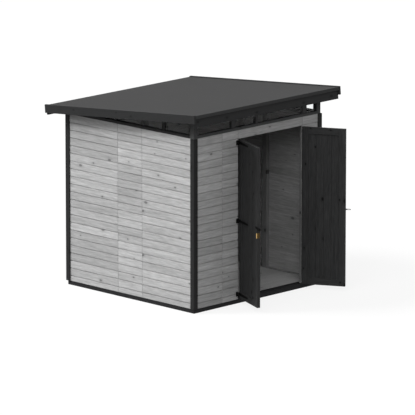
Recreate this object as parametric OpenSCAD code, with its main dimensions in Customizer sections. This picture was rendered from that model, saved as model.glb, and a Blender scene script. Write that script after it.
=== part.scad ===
// Wooden garden shed: panel walls on a low base, a mono-pitch roof over a glazed
// clerestory band, and a pair of framed doors that stand open.
// Origin: middle of the plan, on the ground. The doors are in the front, which faces -Y. +Z is up.

/* [Walls] */
// Width of the shed, cladding face to cladding face
wall_w = 2100; // [2000:10:2600]
// Depth of the shed, cladding face to cladding face
wall_d = 2100; // [1800:10:2800]
// Height of the top of the cladding above the ground
wall_h = 2056; // [2000:1:2300]
// Thickness of the cladding boards
board_t = 18; // [14:1:28]
// Depth of the wall studs, across the wall
stud_d = 45; // [35:1:70]
// Width of one wall stud
stud_w = 35; // [28:1:45]
// Height of the bottom and top plates of the wall frames
plate_h = 28; // [25:1:45]
// Width of the middle panel of the side and back walls
mid_panel_w = 400; // [300:10:600]
// Width of the plain front panel's frame, beside the door panel
front_panel_w = 400; // [300:10:450]
// Thickness of the capping on top of the walls
cap_t = 32; // [20:1:45]

/* [Base and floor] */
// Height of the base frame
base_h = 50; // [30:1:95]
// How far the base frame is set in from the cladding face
base_inset = 3; // [0:1:40]
// Width of the base timbers
base_timber_w = 45; // [35:1:70]
// Number of joists across the base, an odd number
joist_count = 5; // [3:2:9]
// Thickness of the floor boards
floor_t = 18; // [15:1:28]

/* [Corner trim] */
// Width of each face of the corner trim
trim_w = 62; // [45:1:95]
// Thickness of the corner trim
trim_t = 14; // [10:1:22]

/* [Doors] */
// Width of the front wall to the left of the doorway
left_side_w = 722; // [600:1:800]
// Width of the front wall to the right of the doorway
right_side_w = 306; // [200:1:400]
// Height of the strip of cladding over the doorway
head_h = 103; // [60:1:200]
// Thickness of a door leaf
leaf_t = 38; // [32:1:45]
// Width of the stiles
stile_w = 80; // [60:1:110]
// Height of the top and bottom rails
rail_h = 80; // [60:1:120]
// Thickness of the vertical boards between the stiles
infill_t = 18; // [12:1:22]
// Clearance between a leaf and what surrounds it
leaf_gap = 5; // [5:0.5:10]
// Gap between the two leaves when they are shut
meet_gap = 7; // [7:0.5:12]
// Width of the posts beside the doorway
jamb_post_w = 70; // [45:1:95]
// How far the posts stand back behind the edges of the cladding
post_set = 21; // [0:1:30]
// How far the front of the threshold lies below the floor
sill_drop = 10; // [6:0.5:12]
// Angle at which the left leaf stands open
left_open = 112.5; // [0:0.5:165]
// Angle at which the right leaf stands open
right_open = 119; // [0:0.5:165]

/* [Ironwork] */
// Radius of the hinge eyes
eye_r = 7; // [6:0.5:9]
// Radius of the hinge pins
pin_r = 5; // [4:0.25:5.5]
// Length of a hinge strap from its pin
strap_l = 250; // [150:5:300]
// Height of a hinge strap at its eye
strap_h = 34; // [28:1:45]
// Height of a hinge strap at its tip
strap_tip_h = 22; // [14:1:26]
// Thickness of the straps and plates
strap_t = 4; // [3:0.5:4.5]
// Width of a hinge plate on the post
hook_plate_w = 26; // [20:1:40]
// Height of the bottom hinge above the bottom of the leaf
hinge_low = 52; // [40:1:150]
// Height of the middle hinge above the bottom of the leaf
hinge_mid = 924; // [700:1:1200]
// Distance of the top hinge below the top of the leaf
hinge_top = 36; // [35:1:150]
// Height of the lock above the bottom of the leaf
lock_h = 946; // [800:1:1000]
// Distance of the staple from the edge of its leaf
staple_edge = 30; // [28:1:38]
// Height of the hasp strap and its plate
hasp_h = 24; // [24:1:32]
// How far the lap strap stands out beyond the edge of the right leaf
lap_out = 54; // [45:1:60]
// Height of the lap strap
lap_h = 14; // [12:1:18]
// Width of the padlock's body
padlock_w = 44; // [34:1:44]
// Height of the padlock's body
padlock_h = 62; // [40:1:70]
// Thickness of the padlock's body
padlock_t = 20; // [14:1:22]

/* [Clerestory] */
// Height of the glazed band at the front
clear_h = 97; // [80:1:140]
// Width of the corner posts
post_w = 60; // [45:1:80]
// Width of the glazing bar in the middle of the front
bar_w = 40; // [30:1:60]
// Width of the glazing bar in each side
side_bar_w = 50; // [30:1:60]
// Distance of the side glazing bar behind the front of the wall
side_bar_y = 489; // [300:1:900]
// Thickness of the glazing
pane_t = 4; // [3:0.5:6]
// Depth of the glazing behind the front of its posts
pane_set = 8; // [2:1:20]

/* [Roof] */
// Slope of the roof, rising to the front, in degrees
pitch = 5.15; // [4.8:0.05:6.5]
// Depth of the rafters
rafter_d = 56; // [45:1:95]
// Width of the rafters
rafter_w = 45; // [35:1:70]
// Number of rafters
rafter_count = 5; // [3:1:7]
// Thickness of the roof boarding
deck_t = 18; // [15:1:28]
// Thickness of the roofing sheet
sheet_t = 3; // [2:0.5:6]
// Height of the barge boards above the roofing sheet
lip_h = 10; // [4:1:20]
// Height of the strip at the front above the roofing sheet
strip_lip = 4; // [2:1:10]
// Overhang of the roof at each side
side_over = 165; // [100:1:300]
// Overhang of the roof at the front, along the slope
front_over = 174; // [120:1:300]
// Overhang of the roof at the back, along the slope
back_over = 198; // [120:1:300]
// Height of the barge boards at the sides
barge_h = 100; // [90:1:140]
// Thickness of the barge and fascia boards
barge_t = 28; // [18:1:35]
// Height of the front fascia, from the top of the strip
front_fascia_h = 142; // [100:1:160]
// Height of the back fascia, from the top of the barge boards
back_fascia_h = 125; // [100:1:150]
// Height of the strip along the top of the front edge
strip_h = 40; // [25:1:60]
// Thickness of that strip
strip_t = 18; // [12:1:28]

/* [Hidden] */
// Gap between timbers that meet end to face
butt_gap = 0.5;
// Radial clearance of a hinge eye on its pin
run_gap = 0.05;
// Gap between a hinge eye and the hook under it
eye_gap = 0.5;
// Gap between a hinge eye and the face of the wall
eye_stand = 0.5;
$fn = 48;

hx = wall_w/2;
hy = wall_d/2;
wall_t = board_t + stud_d;
in_x = hx - wall_t;
in_y = hy - wall_t;
frame_x = hx - board_t;
frame_y = hy - board_t;
floor_z = base_h + floor_t;
plate_z = base_h + plate_h;
stud_top = wall_h - plate_h;
cap_z = wall_h + cap_t;
seam_x = front_panel_w - in_x;
seam = mid_panel_w/2;
door_x = left_side_w - hx;
door_x1 = hx - right_side_w;
head_z = wall_h - head_h;
post_x = door_x - post_set;
post_x1 = door_x1 + post_set;
sill_z = floor_z - sill_drop;

leaf_w = (door_x1 - door_x - 2*leaf_gap - meet_gap)/2;
leaf_u0 = leaf_gap/2;
leaf_u1 = leaf_u0 + leaf_w;
leaf_v0 = eye_r + eye_stand;
leaf_v1 = leaf_v0 + leaf_t;
leaf_z0 = sill_z + leaf_gap;
leaf_z1 = head_z - leaf_gap;
infill_v0 = leaf_v0 + (leaf_t - infill_t)/2;
hinge_z = [leaf_z0 + hinge_low, leaf_z0 + hinge_mid, leaf_z1 - hinge_top];
tip_step = 2;
bore_r = pin_r + run_gap;
strap_v = leaf_v0 - strap_t;
strap_u = (sqrt(max(bore_r*bore_r - strap_v*strap_v, 0)) + sqrt(eye_r*eye_r - strap_v*strap_v))/2;
hook_drop = 11;
hook_h = strap_h + 2*hook_drop;
hook_rise = 4;
hook_u = -eye_r - 2;
lock_z = leaf_z0 + lock_h;

// The staple on the right leaf: a plate with a loop of round bar
iron_t = 3;
rod_r = 3;
loop_r = 11;
loop_leg = 14;
staple_w = 40;
staple_h = 30;
staple_u = leaf_u1 - staple_edge;

// The hasp: its pin stands just inside the edge of the left leaf
hasp_t = 2.5;
hasp_eye_r = 4;
hasp_pin_r = 2;
hasp_inset = 6;
hasp_plate_l = 45;
hasp_u = leaf_u1 - hasp_inset;
hasp_v = leaf_v0 - hasp_eye_r - 1.5;
hasp_eye_h = 9.4;
hasp_eye_gap = 0.3;
slot_u = hasp_inset + meet_gap + staple_edge;
slot_l = 2*(loop_r + rod_r) + 8;
slot_h = 2*rod_r + 4;

// The padlock hangs on a loop near the end of the hasp's strap
hang_land = 25;
hang_u = slot_u + slot_l/2 + hang_land + loop_r + rod_r;
hang_v = -hasp_t/2 - loop_leg - loop_r;
hang_gap = 0.3;
hasp_strap_l = hang_u + loop_r + rod_r + 4;
shackle_z = 2*rod_r - loop_r + hang_gap;
shackle_leg = 32;
padlock_top = shackle_z - shackle_leg;
padlock_edge = 5;

// The lap strap on the right leaf: it stands off by a packer, under the hasp
lap_stand = leaf_gap + 1;
lap_z = lock_z - (hasp_h + lap_h)/2 - lap_stand;
lap_back = 60;
lap_edge = 4;
lap_slot_h = 6;

// The roof's own frame: y along the slope from the back of the wall, z square to the slope
roof_y0 = -wall_d/cos(pitch) - front_over;
roof_y1 = back_over;
roof_x = hx + side_over;
barge_x = roof_x - barge_t;
deck_z = rafter_d + deck_t;
sheet_z = deck_z + sheet_t;
roof_z = sheet_z + lip_h;
strip_z = sheet_z + strip_lip;
fascia_y0 = roof_y0 + strip_t;
rafter_y0 = fascia_y0 + barge_t;
rafter_y1 = roof_y1 - barge_t;
beam_z = cap_z + clear_h;

// Height of the underside of the rafters
function under(y) = cap_z + (hy - y)*tan(pitch);

wood = "#a9abad";
dark = "#37393b";
black = "#1d1e1f";
inner = "#8d8f91";
glazing = [0.75, 0.8, 0.82, 0.35];

// A straight timber between two corners
module timber(low, high) {
  translate(low) cube(high - low);
}

// A timber and its mirror image on the other side of the shed
module both_sides() {
  children();
  mirror([1, 0, 0]) children();
}

// An outline in the side view, y to the right and z up, carried from x0 to x1
module side_profile(x0, x1, outline) {
  translate([x0, 0, 0]) rotate([90, 0, 90]) linear_extrude(x1 - x0) polygon(outline);
}

// Base and floor

module base_frame() {
  color(black) {
    bx = hx - base_inset;
    by = hy - base_inset;
    pitch_x = (2*bx - base_timber_w)/(joist_count - 1);
    for (end = [0, 1]) mirror([0, end, 0])
      timber([-bx, -by, 0], [bx, -by + base_timber_w, base_h]);
    for (i = [0:joist_count - 1]) translate([-bx + i*pitch_x, 0, 0])
      timber([0, base_timber_w + butt_gap - by, 0],
             [base_timber_w, by - base_timber_w - butt_gap, base_h]);
  }
}

module floor() {
  color(inner) timber([-in_x, -in_y, base_h], [in_x, in_y, floor_z]);
}

// Wall frames

module bottom_plates() {
  color(inner) {
    both_sides() timber([-frame_x, -frame_y, base_h], [-in_x, frame_y, plate_z]);
    timber([butt_gap - in_x, in_y, base_h], [in_x - butt_gap, frame_y, plate_z]);
    timber([butt_gap - in_x, -frame_y, base_h], [door_x - butt_gap, -in_y, plate_z]);
    timber([door_x1 + butt_gap, -frame_y, base_h], [in_x - butt_gap, -in_y, plate_z]);
  }
}

module top_plates() {
  color(inner) {
    both_sides() timber([-frame_x, -frame_y, stud_top], [-in_x, frame_y, wall_h]);
    for (end = [0, 1]) mirror([0, end, 0])
      timber([butt_gap - in_x, -frame_y, stud_top], [in_x - butt_gap, -in_y, wall_h]);
  }
}

// Studs stand at the ends of each panel, doubled where two panels meet
module wall_studs() {
  color(inner) {
    both_sides() {
      for (end = [0, 1]) mirror([0, end, 0]) {
        timber([-frame_x, -frame_y, plate_z], [-in_x, stud_w - frame_y, stud_top]);
        timber([-frame_x, -seam - stud_w, plate_z], [-in_x, stud_w - seam, stud_top]);
      }
      timber([butt_gap - in_x, in_y, plate_z], [stud_w - in_x, frame_y, stud_top]);
      timber([-seam - stud_w, in_y, plate_z], [stud_w - seam, frame_y, stud_top]);
      timber([butt_gap - in_x, -frame_y, plate_z], [stud_w - in_x, -in_y, stud_top]);
    }
    timber([seam_x - stud_w, -frame_y, plate_z], [seam_x + stud_w, -in_y, stud_top]);
  }
}

// Wall cladding, one node for each panel

module left_cladding(y0, y1) {
  color(wood) timber([-hx, y0, base_h], [-frame_x, y1, wall_h]);
}
module left_wall_front() { left_cladding(-hy, -seam); }
module left_wall_middle() { left_cladding(-seam, seam); }
module left_wall_back() { left_cladding(seam, hy); }

module right_wall_front() { mirror([1, 0, 0]) left_cladding(-hy, -seam); }
module right_wall_middle() { mirror([1, 0, 0]) left_cladding(-seam, seam); }
module right_wall_back() { mirror([1, 0, 0]) left_cladding(seam, hy); }

module back_cladding(x0, x1) {
  color(wood) timber([x0, frame_y, base_h], [x1, hy, wall_h]);
}
module back_wall_left() { back_cladding(-frame_x, -seam); }
module back_wall_middle() { back_cladding(-seam, seam); }
module back_wall_right() { back_cladding(seam, frame_x); }

module front_cladding(x0, x1, z0 = base_h) {
  color(wood) timber([x0, -hy, z0], [x1, -frame_y, wall_h]);
}
module front_wall_panel() { front_cladding(-frame_x, seam_x); }
module front_wall_left_pier() { front_cladding(seam_x, door_x); }
module front_wall_right_pier() { front_cladding(door_x1, frame_x); }
module front_wall_header() { front_cladding(door_x, door_x1, head_z); }

// Doorway

module door_posts() {
  color(inner) {
    timber([post_x - jamb_post_w, -frame_y, plate_z], [post_x, -in_y, stud_top]);
    timber([post_x1, -frame_y, plate_z], [post_x1 + jamb_post_w, -in_y, stud_top]);
  }
}

module door_head() {
  color(inner) timber([post_x, -frame_y, head_z], [post_x1, -in_y, stud_top]);
}

// The threshold is rebated, so that its back edge stops the leaves
module threshold() {
  stop_y = leaf_t + leaf_gap - hy;
  color(black) side_profile(door_x, door_x1, [
    [-hy, base_h], [-in_y, base_h], [-in_y, floor_z],
    [stop_y, floor_z], [stop_y, sill_z], [-hy, sill_z]
  ]);
}

// Corner trim: two boards that lap both walls

module corner_trim() {
  trim_h = wall_h - base_h;
  color(dark) translate([-hx, -hy, base_h]) {
    timber([-trim_t, -trim_t, 0], [trim_w - trim_t, 0, trim_h]);
    timber([-trim_t, butt_gap, 0], [0, trim_w - trim_t, trim_h]);
  }
}
module front_left_trim() { corner_trim(); }
module front_right_trim() { mirror([1, 0, 0]) corner_trim(); }
module back_left_trim() { mirror([0, 1, 0]) corner_trim(); }
module back_right_trim() { mirror([1, 0, 0]) mirror([0, 1, 0]) corner_trim(); }

// Wall capping and clerestory

// The back cap is bevelled to carry the rafters
module wall_caps() {
  color(dark) {
    both_sides() timber([-hx, butt_gap - in_y, wall_h], [-in_x, in_y - butt_gap, cap_z]);
    timber([-hx, -hy, wall_h], [hx, -in_y, cap_z]);
    side_profile(-hx, hx, [[in_y, wall_h], [hy, wall_h], [hy, cap_z], [in_y, under(in_y)]]);
  }
}

// Outline of a piece of the side glazing, up to the rafter
function side_light(y0, y1) = [[y0, cap_z], [y1, cap_z], [y1, under(y1)], [y0, under(y0)]];

module clerestory_posts() {
  color(dark) {
    both_sides() {
      timber([-hx, -hy, cap_z], [post_w - hx, -in_y, beam_z]);
      side_profile(-frame_x, -in_x, side_light(side_bar_y - hy, side_bar_y + side_bar_w - hy));
    }
    timber([post_x - jamb_post_w, -frame_y, cap_z], [post_x, -in_y, beam_z]);
    timber([post_x1, -frame_y, cap_z], [post_x1 + jamb_post_w, -in_y, beam_z]);
    timber([-bar_w/2, -frame_y, cap_z], [bar_w/2, -in_y, beam_z]);
  }
}

module front_beam() {
  color(dark) side_profile(-hx, hx, [
    [-hy, beam_z], [-in_y, beam_z], [-in_y, under(-in_y)], [-hy, under(-hy)]
  ]);
}

module front_panes() {
  gaps = [
    [post_w - hx, post_x - jamb_post_w], [post_x, -bar_w/2],
    [bar_w/2, post_x1], [post_x1 + jamb_post_w, hx - post_w]
  ];
  pane_y = pane_set - frame_y;
  color(glazing) for (gap = gaps)
    timber([gap[0], pane_y, cap_z], [gap[1], pane_y + pane_t, beam_z]);
}

module left_panes() {
  pane_x = pane_set - frame_x;
  color(glazing) {
    side_profile(pane_x, pane_x + pane_t, side_light(-in_y, side_bar_y - hy));
    side_profile(pane_x, pane_x + pane_t,
                 side_light(side_bar_y + side_bar_w - hy, in_y - butt_gap));
  }
}
module right_panes() { mirror([1, 0, 0]) left_panes(); }

// Roof

module on_roof() {
  translate([0, hy, cap_z]) rotate([-pitch, 0, 0]) children();
}

module rafters() {
  step_x = (2*frame_x - rafter_w)/(rafter_count - 1);
  color(dark) on_roof() for (i = [0:rafter_count - 1]) translate([i*step_x - frame_x, 0, 0])
    timber([0, rafter_y0, 0], [rafter_w, rafter_y1, rafter_d]);
}

module roof_deck() {
  color(dark) on_roof() timber([-barge_x, rafter_y0, rafter_d], [barge_x, rafter_y1, deck_z]);
}

module roof_sheet() {
  color("#555657") on_roof()
    timber([-barge_x, fascia_y0, deck_z], [barge_x, roof_y1, sheet_z]);
}

module left_barge() {
  color(dark) on_roof()
    timber([-roof_x, roof_y0, roof_z - barge_h], [-barge_x, roof_y1, roof_z]);
}
module right_barge() { mirror([1, 0, 0]) left_barge(); }

module front_strip() {
  color(dark) on_roof()
    timber([-barge_x, roof_y0, strip_z - strip_h], [barge_x, fascia_y0, strip_z]);
}

module front_fascia() {
  color(dark) on_roof()
    timber([-barge_x, fascia_y0, strip_z - front_fascia_h], [barge_x, rafter_y0, deck_z]);
}

module back_fascia() {
  color(dark) on_roof()
    timber([-barge_x, rafter_y1, roof_z - back_fascia_h], [barge_x, roof_y1, deck_z]);
}

// Door leaves, in their own frame: u from the hinge pin along the leaf, v inwards, z up

module at_left_pin() {
  translate([door_x + leaf_u0, -hy - leaf_v0, 0]) children();
}
module at_right_pin() {
  translate([door_x1 - leaf_u0, -hy - leaf_v0, 0]) mirror([1, 0, 0]) children();
}
module left_leaf() {
  at_left_pin() rotate([0, 0, -left_open]) children();
}
module right_leaf() {
  at_right_pin() rotate([0, 0, -right_open]) children();
}

module leaf_frame() {
  color(dark) {
    for (u = [leaf_u0, leaf_u1 - stile_w])
      timber([u, leaf_v0, leaf_z0], [u + stile_w, leaf_v1, leaf_z1]);
    for (z = [leaf_z0, leaf_z1 - rail_h])
      timber([leaf_u0 + stile_w + butt_gap, leaf_v0, z],
             [leaf_u1 - stile_w - butt_gap, leaf_v1, z + rail_h]);
  }
}

module leaf_boards() {
  color(dark) timber([leaf_u0 + stile_w, infill_v0, leaf_z0 + rail_h],
                     [leaf_u1 - stile_w, infill_v0 + infill_t, leaf_z1 - rail_h]);
}

// A strap that tapers to a round tip, a little wider than the taper. It starts in the wall of its eye
module strap() {
  tip_r = strap_tip_h/2;
  end_h = tip_r - tip_step;
  difference() {
    cylinder(r = eye_r, h = strap_h, center = true);
    cylinder(r = bore_r, h = 2*strap_h, center = true);
  }
  translate([0, leaf_v0, 0]) rotate([90, 0, 0]) linear_extrude(strap_t) {
    polygon([[strap_u, -strap_h/2], [strap_l - tip_r, -end_h],
             [strap_l - tip_r, end_h], [strap_u, strap_h/2]]);
    translate([strap_l - tip_r, 0]) circle(tip_r);
  }
}

// The straps fit either hand: on the right leaf they are turned over
module leaf_straps(turned = 0) {
  color(black) for (z = hinge_z) translate([0, 0, z]) mirror([0, 0, turned]) strap();
}

// The plate on the post, with the hook and pin that carry the eye
module hinge_hook() {
  plate_v = leaf_v0 - strap_t;
  timber([hook_u - hook_plate_w, plate_v, -hook_h/2], [hook_u, leaf_v0, hook_h/2]);
  timber([hook_u, plate_v, -hook_h/2], [0, leaf_v0, -strap_h/2 - eye_gap]);
  translate([0, 0, -hook_h/2]) {
    cylinder(r = eye_r, h = hook_drop - eye_gap);
    cylinder(r = pin_r, h = hook_drop + strap_h + hook_rise);
  }
}
module hinge_hooks() {
  color(black) for (z = hinge_z) translate([0, 0, z]) hinge_hook();
}

module left_hinge_hooks() { at_left_pin() hinge_hooks(); }
module right_hinge_hooks() { at_right_pin() hinge_hooks(); }
module left_door_frame() { left_leaf() leaf_frame(); }
module left_door_boards() { left_leaf() leaf_boards(); }
module left_door_straps() { left_leaf() leaf_straps(); }
module right_door_frame() { right_leaf() leaf_frame(); }
module right_door_boards() { right_leaf() leaf_boards(); }
module right_door_straps() { right_leaf() leaf_straps(1); }

// Half a ring of round bar, open towards -y
module half_ring() {
  rotate_extrude(angle = 180) translate([loop_r, 0]) circle(rod_r);
}

// A loop of round bar that stands out of a plate
module bar_loop() {
  for (u = [-loop_r, loop_r]) translate([u, 0, 0])
    rotate([90, 0, 0]) cylinder(r = rod_r, h = loop_leg);
  translate([0, -loop_leg, 0]) rotate([0, 0, 180]) half_ring();
}

// The staple on the right leaf, turned over like the straps there
module staple() {
  color(black) right_leaf() translate([staple_u, leaf_v0 - iron_t, lock_z]) mirror([0, 0, 1]) {
    timber([-staple_w/2, 0, -staple_h/2], [staple_w/2, iron_t, staple_h/2]);
    bar_loop();
  }
}

// The lap strap on the right leaf: its slotted end lies over the left leaf when the doors are shut
module lap_strap() {
  slot_end = lap_out - lap_h/2;
  color(black) right_leaf() translate([leaf_u1, leaf_v0, lap_z]) mirror([0, 0, 1]) {
    timber([-lap_back, -lap_stand, -lap_h/2], [-lap_edge, 0, lap_h/2]);
    translate([0, -lap_stand, 0]) rotate([90, 0, 0]) linear_extrude(iron_t) difference() {
      union() {
        translate([-lap_back, -lap_h/2]) square([lap_back + slot_end, lap_h]);
        translate([slot_end, 0]) circle(lap_h/2);
      }
      translate([lap_h, -lap_slot_h/2]) square([slot_end - lap_h, lap_slot_h]);
    }
  }
}

// The hasp on the left leaf: a plate with two eyes and the pin, and a slotted strap between them
module hasp_plate() {
  eye_end = (hasp_h - hasp_eye_h)/2 - hasp_eye_gap;
  color(black) left_leaf() {
    timber([hasp_u - hasp_plate_l, leaf_v0 - hasp_t, lock_z - hasp_h/2],
           [hasp_u - hasp_eye_r - 1, leaf_v0, lock_z + hasp_h/2]);
    translate([hasp_u, 0, lock_z]) for (end = [0, 1]) mirror([0, 0, end])
      translate([0, 0, -hasp_h/2]) {
        timber([-hasp_eye_r - 1, leaf_v0 - hasp_t, 0], [0, leaf_v0, eye_end]);
        translate([0, hasp_v, 0]) cylinder(r = hasp_eye_r, h = eye_end);
      }
    translate([hasp_u, hasp_v, lock_z]) cylinder(r = hasp_pin_r, h = hasp_h, center = true);
  }
}

// The hasp's own frame: u from its pin along the strap
module at_hasp() {
  left_leaf() translate([hasp_u, hasp_v, lock_z]) children();
}

// The slot goes over the staple, and the loop near the end carries the padlock
module hasp_strap() {
  neck = hasp_eye_r + 1;
  color(black) at_hasp() difference() {
    union() {
      cylinder(r = hasp_eye_r, h = hasp_eye_h, center = true);
      translate([0, hasp_t/2, 0]) rotate([90, 0, 0]) linear_extrude(hasp_t) difference() {
        union() {
          translate([0, -hasp_eye_h/2]) square([neck, hasp_eye_h]);
          translate([neck, -hasp_h/2]) square([hasp_strap_l - hasp_h/2 - neck, hasp_h]);
          translate([hasp_strap_l - hasp_h/2, 0]) circle(hasp_h/2);
        }
        translate([slot_u - slot_l/2, -slot_h/2]) square([slot_l, slot_h]);
      }
      translate([hang_u, -hasp_t/2, 0]) bar_loop();
    }
    cylinder(r = hasp_pin_r + run_gap, h = hasp_h, center = true);
  }
}

// The padlock's flat sides stand across the strap
module padlock_body() {
  color("#b8893a") at_hasp()
    translate([hang_u - padlock_t/2, hang_v, padlock_top - padlock_h])
      rotate([90, 0, 90]) linear_extrude(padlock_t) polygon([
        [-padlock_w/2, padlock_edge], [padlock_edge - padlock_w/2, 0],
        [padlock_w/2 - padlock_edge, 0], [padlock_w/2, padlock_edge],
        [padlock_w/2, padlock_h - padlock_edge], [padlock_w/2 - padlock_edge, padlock_h],
        [padlock_edge - padlock_w/2, padlock_h], [-padlock_w/2, padlock_h - padlock_edge]
      ]);
}

module padlock_shackle() {
  color(black) at_hasp() translate([hang_u, hang_v, shackle_z]) {
    rotate([90, 0, 90]) half_ring();
    for (v = [-loop_r, loop_r]) translate([0, v, -shackle_leg]) cylinder(r = rod_r, h = shackle_leg);
  }
}

base_frame();
floor();
bottom_plates();
top_plates();
wall_studs();
left_wall_front();
left_wall_middle();
left_wall_back();
right_wall_front();
right_wall_middle();
right_wall_back();
back_wall_left();
back_wall_middle();
back_wall_right();
front_wall_panel();
front_wall_left_pier();
front_wall_right_pier();
front_wall_header();
door_posts();
door_head();
threshold();
front_left_trim();
front_right_trim();
back_left_trim();
back_right_trim();
wall_caps();
clerestory_posts();
front_beam();
front_panes();
left_panes();
right_panes();
rafters();
roof_deck();
roof_sheet();
left_barge();
right_barge();
front_strip();
front_fascia();
back_fascia();
left_hinge_hooks();
right_hinge_hooks();
left_door_frame();
left_door_boards();
left_door_straps();
hasp_plate();
hasp_strap();
padlock_body();
padlock_shackle();
right_door_frame();
right_door_boards();
right_door_straps();
staple();
lap_strap();
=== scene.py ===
"""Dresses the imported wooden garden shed: boards, timbers, ironwork, finishes and a plain studio."""
import math

import bpy
import numpy as np
from mathutils import Matrix, Vector


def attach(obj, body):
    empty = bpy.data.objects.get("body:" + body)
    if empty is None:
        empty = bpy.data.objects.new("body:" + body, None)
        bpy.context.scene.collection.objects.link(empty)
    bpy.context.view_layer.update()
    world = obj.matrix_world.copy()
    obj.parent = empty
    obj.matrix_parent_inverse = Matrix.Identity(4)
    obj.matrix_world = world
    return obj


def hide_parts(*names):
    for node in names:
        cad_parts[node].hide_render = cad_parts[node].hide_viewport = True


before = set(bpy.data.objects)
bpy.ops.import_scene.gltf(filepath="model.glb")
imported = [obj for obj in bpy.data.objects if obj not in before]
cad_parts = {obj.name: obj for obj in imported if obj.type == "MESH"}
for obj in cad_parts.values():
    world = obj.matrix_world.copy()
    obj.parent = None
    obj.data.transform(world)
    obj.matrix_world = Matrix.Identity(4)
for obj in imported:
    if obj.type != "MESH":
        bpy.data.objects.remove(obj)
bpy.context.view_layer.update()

bl_info = {
    "name": "Wooden garden shed",
    "version": (1, 0, 0),
    "blender": (4, 5, 0),
    "location": "3D View > Sidebar > Shed",
    "description": "Builds the boards, timbers, ironwork and finishes of a garden shed",
    "category": "Object",
}

UP = np.array([0.0, 0.0, 1.0])
CLADDING = {
    (-1.0, 0.0, 0.0): ("left_wall_front", "left_wall_middle", "left_wall_back"),
    (1.0, 0.0, 0.0): ("right_wall_front", "right_wall_middle", "right_wall_back"),
    (0.0, 1.0, 0.0): ("back_wall_left", "back_wall_middle", "back_wall_right"),
    (0.0, -1.0, 0.0): ("front_wall_panel", "front_wall_left_pier", "front_wall_right_pier",
                       "front_wall_header"),
}
LEAVES = ("left", "right")
LOCK_SCREWS = {
    "left": {"hasp_plate": [(0.3, 0.14), (0.3, 0.86)]},
    "right": {"staple": [(0.12, 0.2), (0.12, 0.8), (0.88, 0.2), (0.88, 0.8)],
              "lap_strap": [(0.1, 0.5), (0.36, 0.5)]},
}
STRAP_SCREWS = [(0.22, 0.5), (0.52, 0.5), (0.93, 0.5)]
HOOK_SCREWS = [(0.37, 0.14), (0.37, 0.86)]

# Lengths in metres
NAIL_INSET, NAIL_RADIUS, NAIL_RISE = 0.019, 0.0022, 0.0008
FLOOR_GROOVE = {"groove": 0.003, "depth": 0.006}
DECK_GROOVE = {"groove": 0.005, "depth": 0.005}
LEAF_GROOVE = {"groove": 0.004, "depth": 0.004, "back": 0.003}
LEAST_BOARD = 0.02
# Depths into the front wall over which the painted light on the clerestory timbers fades out
FRONT_WALL_BACK = (-0.99, -0.97)
PITH_BELOW = 0.06
# Where the painted highlight on the padlock's outer edge begins and where it is full, short of the
# rim
PAINTED_HIGHLIGHT_FROM, PAINTED_HIGHLIGHT_TO = 0.006, 0.001
FLOOR_REACH = 60.0
FURTHEST_SEEN = 400.0

# Shares, counts and angles; growth rings turn by so many radians to the metre
RING_TURN = 1000.0
KNOT_CHANCE = 0.2
NAIL_ROWS = (0.28, 0.72)
NAIL_SIDES, SCREW_SIDES = 6, 12
ROUND_HEAD, FLAT_HEAD = 0.4, 0.1
HEAD_RINGS = (0.0, 35.0, 75.0)
END_PULL = 0.6
MOST_JOINTS = 40
# How many times lighter the clerestory timbers in the front wall are coloured than at the sides:
# painted light
FRONT_PAINTED_LIGHT = 3.5
SENSOR_MM = 36.0

# Bumps or cells of a pattern to the metre, along, across and through a board
STREAKS = (2.2, 34.0, 34.0)
FINE_GRAIN = (9.0, 95.0, 95.0)
FIBRES = (14.0, 700.0, 700.0)
RING_BENDS = (0.9, 4.0, 4.0)
KNOT_CELLS = (4.0, 7.0, 0.0)

# How far boards of one piece may lie apart in the grain, how their tones gather about the
# middle one, and the seeds of the pieces
GRAIN_SHIFT = ([0.0, -0.05, 0.0], [60.0, 0.05, 0.04])
TONE_GATHER = 2.2
SEEDS = {"cladding": 100, "floor": 11, "framing": 20, "base": 30, "trim": 34, "roof": 40,
         "strip": 46, "deck": 50, "leaf_frames": 60, "leaf_boards": 70}


# Sizes and colours that a user would change

def length(name, text, default):
    """A size in metres for a property group."""
    return bpy.props.FloatProperty(name=name, description=text, default=default, min=0.0,
                                   precision=4, unit="LENGTH")


def colour(name, text, default):
    """A linear colour for a property group."""
    return bpy.props.FloatVectorProperty(name=name, description=text, default=default, size=3,
                                         min=0.0, max=1.0, subtype="COLOR")


class ShedBoards(bpy.types.PropertyGroup):
    """Sizes of the boards and of the small shapes on them."""
    pitch: length("Board spacing", "Height of one cladding board", 0.09225)
    first_joint: length("First joint", "Height of the lowest joint above the ground", 0.1125)
    groove: length("Groove width", "Width of the gap between cladding boards", 0.0095)
    groove_depth: length("Groove depth", "Depth of that gap", 0.011)
    seam: length("Panel seam", "Half of the gap between two wall panels", 0.0023)
    floor_board: length("Floor board", "Width of one floor board", 0.094)
    deck_board: length("Roof board", "Width of one roof board", 0.096)
    arris: length("Edge rounding", "Radius of the edges of planed timber", 0.002)
    lock_round: length("Padlock rounding", "Radius of the upright edges of the padlock", 0.006)
    screw: length("Screw head", "Radius of a screw head on the ironwork", 0.0045)
    leaf_boards: bpy.props.IntProperty(
        name="Boards in a leaf", description="Upright boards in one door leaf", default=4, min=2)


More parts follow.
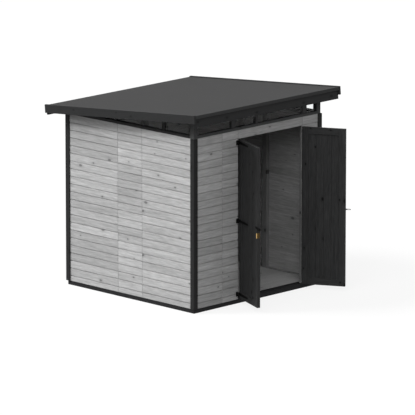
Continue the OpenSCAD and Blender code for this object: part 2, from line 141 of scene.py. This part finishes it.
class ShedFinishes(bpy.types.PropertyGroup):
    """Colours of the finishes."""
    cladding: colour("Cladding", "Grey stain on the wall boards", (0.475, 0.475, 0.475))
    frame_wood: colour("Framing", "Grey stain on studs and plates", (0.263, 0.263, 0.263))
    floor_wood: colour("Floor", "Grey floor boards", (0.405, 0.405, 0.405))
    dark_wood: colour("Anthracite", "Dark stain on the roof timbers", (0.026, 0.0264, 0.0268))
    trim_wood: colour("Trim", "Dark stain on the corner trim", (0.0215, 0.0218, 0.0221))
    door_wood: colour("Doors", "Dark stain on the door leaves", (0.0375, 0.0379, 0.0383))
    band_wood: colour("Clerestory", "Dark stain on the timbers of the band of windows",
                      (0.023, 0.0232, 0.0234))
    black_wood: colour("Base", "Black impregnated base timber", (0.02, 0.02, 0.021))
    roofing: colour("Roofing", "Grey roofing sheet", (0.0278, 0.0278, 0.0281))
    black_iron: colour("Ironwork", "Black lacquered iron", (0.003, 0.003, 0.003))
    brass: colour("Brass", "Padlock body", (0.68, 0.45, 0.18))
    steel: colour("Steel", "Zinc plated steel", (0.55, 0.56, 0.57))


class ShedStage(bpy.types.PropertyGroup):
    """The camera and the light of the studio."""
    lens: bpy.props.FloatProperty(name="Lens", description="Focal length on a 36 mm sensor",
                                  default=466.6, min=1.0, unit="CAMERA")
    distance: length("Distance", "Camera distance from its target", 63.22)
    azimuth: bpy.props.FloatProperty(
        name="Azimuth", description="Turn of the camera about the shed, 0 faces the doors",
        default=math.radians(-45.293), subtype="ANGLE")
    elevation: bpy.props.FloatProperty(
        name="Elevation", description="Height of the camera above the level",
        default=math.radians(12.675), subtype="ANGLE")
    target: bpy.props.FloatVectorProperty(
        name="Target", description="Point at the middle of the picture",
        default=(0.098, -0.1316, 0.9291), size=3, subtype="TRANSLATION")
    key: bpy.props.FloatProperty(name="Key light", description="Strength of the main light",
                                 default=2.65, min=0.0)
    key_from: bpy.props.FloatVectorProperty(
        name="Key from", description="Direction that the main light comes from",
        default=(-0.55, 0.5, 0.67), size=3, subtype="DIRECTION")
    key_size: bpy.props.FloatProperty(
        name="Key size", description="Angle over which the main light is spread",
        default=math.radians(23.0), subtype="ANGLE")
    fill: bpy.props.FloatProperty(name="Front light", description="Strength of the light in front",
                                  default=1.38, min=0.0)
    fill_from: bpy.props.FloatVectorProperty(
        name="Front light from", description="Direction that the light in front comes from",
        default=(-0.8, -0.6, 1.0), size=3, subtype="DIRECTION")
    fill_size: bpy.props.FloatProperty(
        name="Front light size", description="Angle over which the light in front is spread",
        default=math.radians(60.0), subtype="ANGLE")
    sky: bpy.props.FloatProperty(name="Sky light", description="Level of the light all round",
                                 default=0.34, min=0.0)
    bounce: bpy.props.FloatProperty(
        name="Floor bounce", description="Share of light that the floor sends back to the shed",
        default=0.15, min=0.0, max=1.0)


def settings(group):
    """One of this file's property groups on the scene."""
    return getattr(bpy.context.scene, "shed_" + group)


# Finishes

class Wire:
    """An output socket of a material. Arithmetic on it adds Math nodes to the material."""

    def __init__(self, tree, socket=None):
        self.tree, self.socket = tree, socket

    def node(self, kind, inputs=None, out=0, **choices):
        """Adds a node: its choices are set first, then its sockets get values or links."""
        made = self.tree.nodes.new("ShaderNode" + kind)
        for name, value in choices.items():
            setattr(made, name, value)
        for name, value in (inputs or {}).items():
            if isinstance(value, Wire):
                self.tree.links.new(value.socket, made.inputs[name])
            else:
                made.inputs[name].default_value = value
        return Wire(self.tree, made.outputs[out])

    def other(self, out):
        """Another output of the same node."""
        return Wire(self.tree, self.socket.node.outputs[out])

    def math(self, operation, *values):
        """A Math node on this wire and the values after it."""
        return self.node("Math", dict(enumerate((self, *values))), operation=operation)

    def __add__(self, other):
        return self.math("ADD", other)

    def __sub__(self, other):
        return self.math("SUBTRACT", other)

    def __rsub__(self, other):
        return self.node("Math", {0: other, 1: self}, operation="SUBTRACT")

    def __mul__(self, other):
        return self.math("MULTIPLY", other)

    def __gt__(self, other):
        return self.math("GREATER_THAN", other)

    __radd__ = __add__
    __rmul__ = __mul__

    def stretched(self, x, y, z):
        """The vector with each of its parts multiplied."""
        return self.node("VectorMath", {0: self, 1: (x, y, z)}, operation="MULTIPLY")

    def tinted(self, shade):
        """A constant colour scaled by this value."""
        return self.node("VectorMath", {0: tuple(shade), "Scale": self}, operation="SCALE")

    def ramp(self, low, high, at_low=0.0, at_high=1.0):
        """A smooth step from at_low to at_high while the value goes from low to high."""
        return self.node("MapRange", {"Value": self, "From Min": low, "From Max": high,
                                      "To Min": at_low, "To Max": at_high},
                         interpolation_type="SMOOTHSTEP")

    def noise(self, detail=2.0):
        """A noise that is read at this vector, one bump to the unit."""
        return self.node("TexNoise", {"Vector": self, "Scale": 1.0, "Detail": detail})


def material(name, links, **constants):
    """A new material with one Principled shader: links vary over the surface, constants don't."""
    made = bpy.data.materials.new(name)
    made.use_nodes = True
    tree = made.node_tree
    shader = tree.nodes["Principled BSDF"]
    for socket, value in constants.items():
        shader.inputs[socket.replace("_", " ")].default_value = value
    for socket, wire in links(Wire(tree)).items():
        tree.links.new(wire.socket, shader.inputs[socket])
    return made


def wood(name, shade, grain_axis=None, spread=0.16, figure=0.6, knots=0.6, front=1.0):
    """Stained softwood. Boards carry their own grain place and tone; a CAD node takes its place
    from Object coordinates, turned so that the grain runs along grain_axis, and front scales the
    stain on its parts in the front wall. That is painted light: those parts come out lighter than
    the same timbers at the sides, which stand in the roof's shade.

    Growth rings are a sine of the distance from a pith below the board, bent by a slow noise.
    Streaks and a finer grain are noises drawn out along the board. A knot is the middle of a
    Voronoi cell, in one cell of five. The stain is scaled by the product of tone, knot and the
    sum of streak, grain and ring."""

    def links(start):
        if grain_axis is None:
            place = start.node("Attribute", attribute_name="grain", out="Vector")
            tone = start.node("Attribute", attribute_name="tone", out="Fac")
            level = tone * spread + (1.0 - spread / 2)
        else:
            turn = {"X": (0, 0, 0), "Y": (0, 0, -math.pi / 2), "Z": (0, math.pi / 2, 0)}[grain_axis]
            raw = start.node("TexCoord", out="Object")
            place = start.node("Mapping", {"Vector": raw, "Rotation": turn})
            level = place.stretched(0.4, 2.0, 2.0).noise() * spread + (1.0 - spread / 2)
            # Painted light: parts in the front wall get front times the stain, set against the shade
            # on the same timbers at the sides
            if front != 1.0:
                inwards = start.node("SeparateXYZ", {0: raw}, "Y")
                level = level * inwards.ramp(*FRONT_WALL_BACK, front, 1.0)
        cell = start.node("TexVoronoi", {"Vector": place.stretched(*KNOT_CELLS), "Scale": 1.0},
                          voronoi_dimensions="2D")
        lot = start.node("SeparateColor", {0: cell.other("Color")})
        chosen = lot > 1.0 - KNOT_CHANCE
        size = lot.other(1) * 0.09 + 0.05
        knot = (1.0 - cell.math("DIVIDE", size)).ramp(0.0, 0.5) * chosen
        halo = (1.0 - cell.math("DIVIDE", size * 2.6)).ramp(0.0, 0.8) * chosen
        split = start.node("SeparateXYZ", {0: place})
        across, depth = split.other("Y"), split.other("Z") + PITH_BELOW
        pith = (across * across + depth * depth).math("SQRT")
        wander = place.stretched(*RING_BENDS).noise()
        rings = ((pith + wander * 0.016 + halo * 0.008) * RING_TURN).math("SINE") * 0.5 + 0.5
        late = rings * rings
        streak = place.stretched(*STREAKS).noise(3.0)
        grain = place.stretched(*FINE_GRAIN).noise(2.0)
        fibre = place.stretched(*FIBRES).noise(1.0)
        shading = (streak * 0.45 + grain * 0.55 - 0.5) * figure - (late - 0.4) * 0.1 + 1.0
        shading = shading * level * (1.0 - halo * (0.25 * knots)) * (1.0 - knot * knots)
        height = fibre * 0.5 - late * 0.5 - knot * 0.4
        bump = start.node("Bump", {"Strength": 0.35, "Distance": 0.0006, "Height": height})
        return {"Base Color": shading.tinted(shade), "Roughness": streak * 0.25 + 0.5,
                "Normal": bump}

    return material(name, links, Specular_IOR_Level=0.11)


def roofing(name, shade):
    """A mineral sheet: fine grit over a slow mottle scales the colour and lifts the surface."""

    def links(start):
        place = start.node("TexCoord", out="Object")
        grit = place.stretched(420.0, 420.0, 420.0).noise(1.0)
        mottle = place.stretched(2.2, 1.4, 2.2).noise(4.0)
        shading = grit * 0.3 + mottle * 0.16 + 0.77
        bump = start.node("Bump", {"Strength": 0.3, "Distance": 0.0008, "Height": grit})
        return {"Base Color": shading.tinted(shade), "Roughness": grit * 0.2 + 0.75,
                "Normal": bump}

    return material(name, links, Specular_IOR_Level=0.25)


def lacquer(name, shade):
    """Black lacquer over forged iron: a fine hammer noise gives the bump, a slow one the gloss."""

    def links(start):
        place = start.node("TexCoord", out="Object")
        hammer = place.stretched(160.0, 160.0, 160.0).noise(2.0)
        worn = place.stretched(40.0, 40.0, 40.0).noise(3.0)
        bump = start.node("Bump", {"Strength": 0.25, "Distance": 0.0005, "Height": hammer})
        return {"Base Color": (worn * 0.6 + 0.7).tinted(shade), "Roughness": worn * 0.3 + 0.45,
                "Normal": bump}

    return material(name, links, Specular_IOR_Level=0.06)


def metal(name, shade, rough):
    """Bare metal: long fine scratches vary the gloss, a slow noise dulls the colour."""

    def links(start):
        place = start.node("TexCoord", out="Object")
        scratch = place.stretched(900.0, 900.0, 60.0).noise(1.0)
        dull = place.stretched(90.0, 90.0, 90.0).noise(3.0)
        return {"Base Color": (dull * 0.4 + 0.8).tinted(shade),
                "Roughness": scratch * 0.2 + (rough - 0.1)}

    return material(name, links, Metallic=1.0)


def brass_with_painted_highlight(name, shade, out, rim):
    """Brass with a painted highlight at the edge that stands out: the shade is scaled up by a
    smooth step of the distance along the direction out, which ends just short of the rim.
    Elsewhere the colour is kept low, as tarnish and as a painted reflection of dark surroundings."""

    def links(start):
        place = start.node("TexCoord", out="Object")
        aside = start.node("VectorMath", {0: place, 1: tuple(out)}, "Value",
                           operation="DOT_PRODUCT")
        # Painted highlight: the colour is raised near the outer rim in place of the light's glint on
        # that edge
        painted_highlight = aside.ramp(rim - PAINTED_HIGHLIGHT_FROM, rim - PAINTED_HIGHLIGHT_TO)
        dull = place.stretched(90.0, 90.0, 90.0).noise(3.0)
        return {"Base Color": (painted_highlight * 1.35 + dull * 0.08 + 0.05).tinted(shade),
                "Roughness": 0.42 - painted_highlight * 0.2}

    return material(name, links, Metallic=1.0)


def clear_sheet(name):
    """Clear glazing with a trace of milkiness and a slight unevenness in its gloss."""

    def links(start):
        haze = start.node("TexCoord", out="Object").stretched(6.0, 6.0, 6.0).noise(2.0)
        return {"Roughness": haze * 0.03}

    return material(name, links, Base_Color=(0.96, 0.97, 0.97, 1.0), Transmission_Weight=0.992,
                    IOR=1.14, Specular_IOR_Level=0.02)


def finish(nodes, made):
    """Gives CAD nodes a material in their own slots."""
    for node in nodes:
        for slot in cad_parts[node].material_slots:
            slot.material = made


# Shapes

def solids(node):
    """Corner triangles of each separate solid in a CAD node. Equal corners are merged, and the
    lowest corner number of a triangle spreads over it until nothing changes."""
    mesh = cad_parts[node].data
    points = np.empty(len(mesh.vertices) * 3)
    mesh.vertices.foreach_get("co", points)
    corners = np.empty(len(mesh.loops), np.int64)
    mesh.loops.foreach_get("vertex_index", corners)
    points, index = np.unique(points.reshape(-1, 3).round(6), axis=0, return_inverse=True)
    faces = index.ravel()[corners].reshape(-1, 3)
    label, spread = None, np.arange(len(points))
    while label is None or (spread != label).any():
        label = spread
        spread = label.copy()
        np.minimum.at(spread, faces, label[faces].min(axis=1, keepdims=True))
    return [points[faces[label[faces[:, 0]] == k]] for k in np.unique(label[faces])]


def block(corners):
    """Centre, axes and half sizes of a box-like solid. The largest face gives one axis, the
    largest face square to it the next, and the third is square to both. The axes are sorted from
    long to short, and the last is turned so that they are right-handed."""
    a, b, c = corners.transpose(1, 0, 2)
    cross = np.cross(b - a, c - a)
    area = np.linalg.norm(cross, axis=1)
    normal = cross / area[:, None]
    first = normal[area.argmax()]
    second = normal[np.where(np.abs(normal @ first) < 0.1, area, 0.0).argmax()]
    axes = np.array([first, second, np.cross(first, second)])
    reach = corners.reshape(-1, 3) @ axes.T
    low, high = reach.min(axis=0), reach.max(axis=0)
    order = np.argsort(low - high)
    centre = (low + high) / 2 @ axes
    axes = axes[order]
    axes[2] = np.cross(axes[0], axes[1])
    return centre, axes, ((high - low) / 2)[order]


def facing(made, face, stack):
    """A block with its axes put in the order run, stack and face. Each is the block's axis that
    lies nearest to the direction asked for, with its sign, and run is stack x face."""
    centre, axes, half = made
    third = np.abs(axes @ face).argmax()
    second = np.abs(axes @ stack).argmax()
    first = 3 - second - third
    out = axes[third] * np.sign(axes[third] @ face)
    up = axes[second] * np.sign(axes[second] @ stack)
    return centre, np.array([np.cross(up, out), up, out]), half[[first, second, third]]


def carry(rings, stations, centres, axes):
    """Closed outlines carried along straight runs. A point is the centre of its piece, plus the
    station along the first axis, plus the outline's two parts along the other two. Neighbouring
    rings are joined by quads, and the first and last ring are closed by one face each."""
    count, steps, corners, _ = rings.shape
    along = np.broadcast_to(stations[:, :, None, None], (count, steps, corners, 1))
    local = np.concatenate([along, rings], axis=3)
    points = centres[:, None, None, :] + np.einsum("nrkc,ncd->nrkd", local, axes)
    number = np.arange(count * steps * corners).reshape(count, steps, corners)
    turned = np.roll(number, -1, axis=2)
    sides = np.stack([number[:, :-1], turned[:, :-1], turned[:, 1:], number[:, 1:]], axis=-1)
    ends = np.concatenate([number[:, 0, ::-1], number[:, -1]])
    return {"points": points.reshape(-1, 3), "faces": sides.reshape(-1, 4).tolist() + ends.tolist(),
            "local": local.reshape(-1, 3), "piece": np.repeat(np.arange(count), steps * corners)}


def rounded(half, radius, pull=0.0, steps=3):
    """Rounded rectangles, one for each row of half sizes: each corner is a quarter turn about a
    centre set in by the radius. pull draws the outline in."""
    angle = np.radians(np.arange(4)[:, None] * 90.0 + np.linspace(0.0, 90.0, steps))
    sign = np.array([[1, 1], [-1, 1], [-1, -1], [1, -1]])
    centre = sign[None, :, None, :] * (half[:, None, None, :] - radius)
    arc = np.stack([np.cos(angle), np.sin(angle)], axis=-1) * (radius - pull)
    return (centre + arc).reshape(len(half), -1, 2)


def timbers(blocks, radius):
    """Planed timbers: a rounded rectangle carried along each block's longest axis, drawn in over
    the last radius at both ends."""
    centres, axes, halves = (np.array(part) for part in zip(*blocks))
    full = rounded(halves[:, 1:], radius)
    end = rounded(halves[:, 1:], radius, END_PULL * radius)
    run = halves[:, :1]
    stations = np.concatenate([-run, radius - run, run - radius, run], axis=1)
    return carry(np.stack([end, full, full, end], axis=1), stations, centres, axes)


def planks(made, joints, groove, depth, back=0.002, gap=0.0):
    """Boards side by side over a block. Each board's outline is a rectangle between two joints:
    its face is set back by half a groove at each joint down to the groove's depth, and its back
    has a small chamfer. The outline is carried along the run, less a gap at both ends."""
    centre, axes, half = made
    edges = np.concatenate([[-half[1]], joints, [half[1]]])
    low, high, top = edges[:-1], edges[1:], half[2]
    hairline, soft = 0.0004, 0.0012
    slit = np.full(len(edges), groove / 2)
    slit[[0, -1]] = hairline
    left, right = low + slit[:-1], high - slit[1:]
    level = np.full(len(low), top)
    outline = np.stack([
        np.stack([low, back - level], 1), np.stack([low + back, -level], 1),
        np.stack([high - back, -level], 1), np.stack([high, back - level], 1),
        np.stack([high, level - depth], 1), np.stack([right, level - depth], 1),
        np.stack([right, level - soft], 1), np.stack([right - soft, level], 1),
        np.stack([left + soft, level], 1), np.stack([left, level - soft], 1),
        np.stack([left, level - depth], 1), np.stack([low, level - depth], 1)], axis=1)
    run = np.full((len(low), 1), half[0] - gap)
    return carry(np.stack([outline, outline], axis=1), np.concatenate([-run, run], axis=1),
                 np.tile(centre, (len(low), 1)), np.tile(axes, (len(low), 1, 1)))


def domes(centres, outward, radius, height, sides):
    """Round heads: circles about each centre that shrink as the cosine while they rise as the
    sine of the same angle, up to a small flat top."""
    helper = np.where(np.abs(outward[:, 2:3]) > 0.9, [[1.0, 0.0, 0.0]], [[0.0, 0.0, 1.0]])
    first = np.cross(helper, outward)
    first /= np.linalg.norm(first, axis=1, keepdims=True)
    axes = np.stack([outward, first, np.cross(outward, first)], axis=1)
    rise = np.radians(HEAD_RINGS)
    turn = np.linspace(0.0, 2 * np.pi, sides, endpoint=False)
    circle = np.stack([np.cos(turn), np.sin(turn)], axis=-1)
    rings = np.cos(rise)[:, None, None] * circle * radius
    shape = (len(centres), *rings.shape)
    stations = np.tile(np.sin(rise) * height, (len(centres), 1))
    return carry(np.broadcast_to(rings, shape), stations, centres, axes)


def patch(corners, out, along):
    """The flat part of a solid that looks outwards: a corner of it, and its two sides along the
    run and square to it. Only triangles whose normal is nearly the outward direction count."""
    a, b, c = corners.transpose(1, 0, 2)
    normal = np.cross(b - a, c - a)
    flat = normal @ out > 0.99 * np.linalg.norm(normal, axis=1)
    axes = np.array([along, np.cross(out, along), out])
    reach = corners[flat].reshape(-1, 3) @ axes.T
    low, high = reach.min(axis=0), reach.max(axis=0)
    return low @ axes, axes[:2] * (high - low)[:2, None]


def place_piece(name, shape, made, body, nodes=(), seed=0):
    """Puts a shape into a mesh object that rides on a body and stands for CAD nodes. Each board
    or timber in it gets its own tone, and its own place in the grain."""
    mesh = bpy.data.meshes.new(name)
    mesh.from_pydata(shape["points"], [], shape["faces"])
    lot = np.random.default_rng(seed)
    count = shape["piece"].max() + 1
    shift = lot.uniform(*GRAIN_SHIFT, (count, 3))
    grain = mesh.attributes.new("grain", "FLOAT_VECTOR", "POINT")
    grain.data.foreach_set("vector", (shape["local"] + shift[shape["piece"]]).ravel())
    tone = mesh.attributes.new("tone", "FLOAT", "POINT")
    tone.data.foreach_set("value", lot.beta(TONE_GATHER, TONE_GATHER, count)[shape["piece"]])
    mesh.materials.append(made)
    mesh.update()
    piece = bpy.data.objects.new(name, mesh)
    bpy.context.scene.collection.objects.link(piece)
    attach(piece, body)
    if nodes:
        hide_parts(*nodes)


def replace_timbers(nodes, made, seed, body="shed"):
    """Planed timbers in place of CAD nodes, one object for each node."""
    radius = settings("boards").arris
    for step, node in enumerate(nodes):
        shape = timbers([block(corners) for corners in solids(node)], radius)
        place_piece(node + "_timber", shape, made, body, [node], seed + step)


def even_joints(width, board):
    """Joints that divide a width into equal boards, as near as can be to the board asked for."""
    count = max(1, round(2 * width / board))
    return np.linspace(-width, width, count + 1)[1:-1]


# Operators

class SHED_OT_cladding(bpy.types.Operator):
    """Clads every wall panel with horizontal boards and nails them to the studs"""
    bl_idname = "shed.cladding"
    bl_label = "Cladding"

    def execute(self, context):
        boards, shades = settings("boards"), settings("finishes")
        made = wood("grey stained boards", shades.cladding, spread=0.33, figure=1.3, knots=0.5)
        nail = metal("nail heads", shades.steel, 0.55)
        seed, heads, ways = SEEDS["cladding"], [], []
        for face, nodes in CLADDING.items():
            for node in nodes:
                base = facing(block(solids(node)[0]), np.array(face), UP)
                centre, axes, half = base
                levels = boards.first_joint + boards.pitch * np.arange(MOST_JOINTS) - centre[2]
                joints = levels[np.abs(levels) < half[1] - LEAST_BOARD]
                shape = planks(base, joints, boards.groove, boards.groove_depth, gap=boards.seam)
                place_piece(node + "_boards", shape, made, "shed", [node], seed)
                edges = np.concatenate([[-half[1]], joints, [half[1]]])
                rows = edges[:-1, None] + np.diff(edges)[:, None] * np.array(NAIL_ROWS)
                ends = np.array([-1.0, 1.0]) * (half[0] - NAIL_INSET)
                spots = np.stack(np.meshgrid(ends, rows.ravel()), -1).reshape(-1, 2)
                heads.append(centre + spots @ axes[:2] + axes[2] * (half[2] - NAIL_RISE / 2))
                ways.append(np.tile(axes[2], (len(spots), 1)))
                seed += 1
        shape = domes(np.concatenate(heads), np.concatenate(ways), NAIL_RADIUS, NAIL_RISE,
                      NAIL_SIDES)
        place_piece("cladding_nails", shape, nail, "shed")
        return {"FINISHED"}


class SHED_OT_floor(bpy.types.Operator):
    """Lays the floor boards across the joists"""
    bl_idname = "shed.floor"
    bl_label = "Floor"

    def execute(self, context):
        boards, shades = settings("boards"), settings("finishes")
        made = wood("floor boards", shades.floor_wood)
        base = facing(block(solids("floor")[0]), UP, np.array([0.0, 1.0, 0.0]))
        joints = even_joints(base[2][1], boards.floor_board)
        shape = planks(base, joints, **FLOOR_GROOVE)
        place_piece("floor_boards", shape, made, "shed", ["floor"], SEEDS["floor"])
        return {"FINISHED"}


class SHED_OT_framing(bpy.types.Operator):
    """Makes the base timbers, the wall frames and the frame of the doorway"""
    bl_idname = "shed.framing"
    bl_label = "Framing"

    def execute(self, context):
        shades = settings("finishes")
        grey = wood("grey stained framing", shades.frame_wood)
        black = wood("black base timber", shades.black_wood, knots=0.4)
        replace_timbers(("bottom_plates", "top_plates", "wall_studs", "door_posts", "door_head"),
                        grey, SEEDS["framing"])
        replace_timbers(("base_frame",), black, SEEDS["base"])
        finish(["threshold"], wood("black threshold", shades.black_wood, "X", knots=0.4))
        return {"FINISHED"}


class SHED_OT_trim(bpy.types.Operator):
    """Finishes the corner trim, the wall caps and the timbers of the clerestory"""
    bl_idname = "shed.trim"
    bl_label = "Trim and clerestory"

    def execute(self, context):
        shades = settings("finishes")
        # The clerestory timbers in the front wall are coloured lighter than at the sides, as painted
        # light
        upright = wood("clerestory upright", shades.band_wood, "Z", front=FRONT_PAINTED_LIGHT)
        lying = wood("clerestory lying", shades.band_wood, "X", front=FRONT_PAINTED_LIGHT)
        replace_timbers(("front_left_trim", "front_right_trim", "back_left_trim",
                         "back_right_trim"), wood("anthracite trim", shades.trim_wood),
                        SEEDS["trim"])
        finish(["clerestory_posts"], upright)
        finish(["front_beam", "wall_caps"], lying)
        finish(["front_panes", "left_panes", "right_panes"], clear_sheet("clear glazing"))
        return {"FINISHED"}


class SHED_OT_roof(bpy.types.Operator):
    """Builds the roof boarding and the timbers of the roof, and finishes the sheet on top"""
    bl_idname = "shed.roof"
    bl_label = "Roof"

    def execute(self, context):
        boards, shades = settings("boards"), settings("finishes")
        dark = wood("anthracite roof timber", shades.dark_wood)
        replace_timbers(("rafters", "left_barge", "right_barge", "front_fascia", "back_fascia"),
                        dark, SEEDS["roof"])
        replace_timbers(("front_strip",), wood("anthracite strip", shades.door_wood),
                        SEEDS["strip"])
        base = facing(block(solids("roof_deck")[0]), -UP, np.array([0.0, 1.0, 0.0]))
        joints = even_joints(base[2][1], boards.deck_board)
        shape = planks(base, joints, **DECK_GROOVE)
        place_piece("roof_boards", shape, dark, "shed", ["roof_deck"], SEEDS["deck"])
        finish(["roof_sheet"], roofing("grey roofing sheet", shades.roofing))
        return {"FINISHED"}


class SHED_OT_doors(bpy.types.Operator):
    """Builds the framed door leaves with their upright boards"""
    bl_idname = "shed.doors"
    bl_label = "Doors"

    def execute(self, context):
        boards, shades = settings("boards"), settings("finishes")
        dark = wood("anthracite doors", shades.door_wood, figure=1.9, knots=0.9)
        for step, side in enumerate(LEAVES):
            body = side + "_door"
            replace_timbers((body + "_frame",), dark, SEEDS["leaf_frames"] + step,
                            body)
            node = body + "_boards"
            made = block(solids(node)[0])
            base = facing(made, made[1][2], made[1][1])
            joints = np.linspace(-base[2][1], base[2][1], boards.leaf_boards + 1)[1:-1]
            shape = planks(base, joints, **LEAF_GROOVE)
            place_piece(node + "_upright", shape, dark, body, [node],
                        SEEDS["leaf_boards"] + step)
        return {"FINISHED"}


class SHED_OT_ironwork(bpy.types.Operator):
    """Finishes the hinges, the staple, the straps and the padlock, and adds their screws"""
    bl_idname = "shed.ironwork"
    bl_label = "Ironwork"

    def execute(self, context):
        boards, shades = settings("boards"), settings("finishes")
        iron = lacquer("black iron", shades.black_iron)
        finish(["left_hinge_hooks", "right_hinge_hooks", "left_door_straps", "right_door_straps",
                "staple", "lap_strap", "hasp_plate", "hasp_strap", "padlock_shackle"], iron)
        lock = solids("padlock_body")[0]
        out = self.leaf_axes("left_door")[1]
        # The padlock's brass carries a painted highlight along its outer upright edge
        brass = brass_with_painted_highlight("brass", shades.brass, out, float((lock @ out).max()))
        place_piece("padlock_rounded", timbers([block(lock)], boards.lock_round), brass, "hasp",
                    ["padlock_body"])
        for side, turn in zip(LEAVES, (1.0, -1.0)):
            body = side + "_door"
            run, out = self.leaf_axes(body)
            post = np.array([turn, 0.0, 0.0]), np.array([0.0, -1.0, 0.0])
            self.screws(side + "_hinge_hooks", *post, HOOK_SCREWS, iron, "shed")
            self.screws(body + "_straps", run, out, STRAP_SCREWS, iron, body)
            for node, spots in LOCK_SCREWS[side].items():
                self.screws(node, run, out, spots, iron, body, FLAT_HEAD)
        return {"FINISHED"}

    def leaf_axes(self, body):
        """The direction from the hinge along a leaf, and the direction out of its face: the axes of
        its boards, turned by where the hinge straps are."""
        centre, axes, _ = block(solids(body + "_boards")[0])
        strap = np.concatenate(solids(body + "_straps")).reshape(-1, 3).mean(axis=0) - centre
        return -axes[1] * np.sign(axes[1] @ strap), axes[2] * np.sign(axes[2] @ strap)

    def screws(self, node, along, out, spots, made, body, rise=ROUND_HEAD):
        """Round heads on the flat face of each solid of a node, at shares of its two sides. rise
        is their height over their radius; the flat ones leave room for the hasp."""
        heads = []
        for corners in solids(node):
            low, sides = patch(corners, out, along)
            heads.append(low + np.array(spots) @ sides)
        heads = np.concatenate(heads)
        radius = settings("boards").screw
        ways = np.tile(out, (len(heads), 1))
        shape = domes(heads, ways, radius, rise * radius, SCREW_SIDES)
        place_piece(node + "_screws", shape, made, body)


class SHED_OT_stage(bpy.types.Operator):
    """Sets up the pale floor, the soft light and the camera"""
    bl_idname = "shed.stage"
    bl_label = "Studio"

    def execute(self, context):
        stage, scene = settings("stage"), context.scene
        scene.view_settings.view_transform = "Standard"
        self.floor(stage)
        self.light(stage, scene)
        self.camera(stage, scene)
        return {"FINISHED"}

    def seen(self, start):
        """One where a ray comes from the camera, straight or by way of a mirror or a pane."""
        path = start.node("LightPath", out="Is Camera Ray")
        both = path.math("MAXIMUM", path.other("Is Glossy Ray"))
        through = both.math("MAXIMUM", path.other("Is Transmission Ray"))
        return through * (1.0 - path.other("Diffuse Depth").math("MINIMUM", 1.0))

    def floor(self, stage):
        """A level square that keeps the shadow. To the camera it also glows, up to white."""
        reach = FLOOR_REACH * np.array([[-1, -1, 0], [1, -1, 0], [1, 1, 0], [-1, 1, 0]])
        mesh = bpy.data.meshes.new("studio floor")
        mesh.from_pydata(reach, [], [(0, 1, 2, 3)])
        made = bpy.data.materials.new("studio floor")
        made.use_nodes = True
        tree = made.node_tree
        tree.nodes.remove(tree.nodes["Principled BSDF"])
        start = Wire(tree)
        matt = start.node("BsdfDiffuse", {"Color": (*[stage.bounce] * 3, 1.0)})
        glow = start.node("Emission", {"Strength": self.seen(start) * (1.0 - stage.bounce)})
        both = start.node("AddShader", {0: matt, 1: glow})
        tree.links.new(both.socket, tree.nodes["Material Output"].inputs["Surface"])
        mesh.materials.append(made)
        floor = bpy.data.objects.new("studio_floor", mesh)
        bpy.context.scene.collection.objects.link(floor)

    def light(self, stage, scene):
        """A sun from the left, a soft one in front, and an even sky that the camera sees white."""
        for name in ("key", "fill"):
            lamp = bpy.data.lights.new(name, "SUN")
            lamp.energy, lamp.angle = getattr(stage, name), getattr(stage, name + "_size")
            made = bpy.data.objects.new(name, lamp)
            towards = Vector(getattr(stage, name + "_from"))
            made.rotation_euler = towards.to_track_quat("Z", "Y").to_euler()
            scene.collection.objects.link(made)
        world = scene.world or bpy.data.worlds.new("studio")
        scene.world = world
        world.use_nodes = True
        tree = world.node_tree
        start = Wire(tree)
        level = self.seen(start) * (1.0 - stage.sky) + stage.sky
        white = level.tinted((1.0, 1.0, 1.0))
        tree.links.new(white.socket, tree.nodes["Background"].inputs["Color"])

    def camera(self, stage, scene):
        """The camera stands back from its target along the azimuth and elevation."""
        turn, lift = stage.azimuth, stage.elevation
        back = Vector((math.sin(turn) * math.cos(lift), -math.cos(turn) * math.cos(lift),
                       math.sin(lift)))
        right = Vector((math.cos(turn), math.sin(turn), 0.0))
        lens = bpy.data.cameras.new("camera")
        lens.lens, lens.sensor_width, lens.clip_end = stage.lens, SENSOR_MM, FURTHEST_SEEN
        camera = bpy.data.objects.new("camera", lens)
        axes = Matrix((right, back.cross(right), back)).transposed().to_4x4()
        stand = Vector(stage.target) + back * stage.distance
        camera.matrix_world = Matrix.Translation(stand) @ axes
        scene.collection.objects.link(camera)
        scene.camera = camera


class SHED_PT_build(bpy.types.Panel):
    """Lists the steps that build the shed, and the values that they use"""
    bl_idname = "SHED_PT_build"
    bl_label = "Garden shed"
    bl_space_type = "VIEW_3D"
    bl_region_type = "UI"
    bl_category = "Shed"

    def draw(self, context):
        for operator in OPERATORS:
            self.layout.operator(operator.bl_idname)
        for group in GROUPS:
            held = settings(group)
            for name in held.__annotations__:
                self.layout.prop(held, name)


GROUPS = {"boards": ShedBoards, "finishes": ShedFinishes, "stage": ShedStage}
OPERATORS = (SHED_OT_cladding, SHED_OT_floor, SHED_OT_framing, SHED_OT_trim, SHED_OT_roof,
             SHED_OT_doors, SHED_OT_ironwork, SHED_OT_stage)
CLASSES = (*GROUPS.values(), *OPERATORS, SHED_PT_build)


def register():
    for made in CLASSES:
        bpy.utils.register_class(made)
    for name, group in GROUPS.items():
        setattr(bpy.types.Scene, "shed_" + name, bpy.props.PointerProperty(type=group))


def unregister():
    for name in GROUPS:
        delattr(bpy.types.Scene, "shed_" + name)
    for made in reversed(CLASSES):
        bpy.utils.unregister_class(made)


def main():
    """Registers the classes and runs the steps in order."""
    register()
    for operator in OPERATORS:
        getattr(bpy.ops.shed, operator.bl_idname.split(".")[1])()


if __name__ == "__main__":
    main()
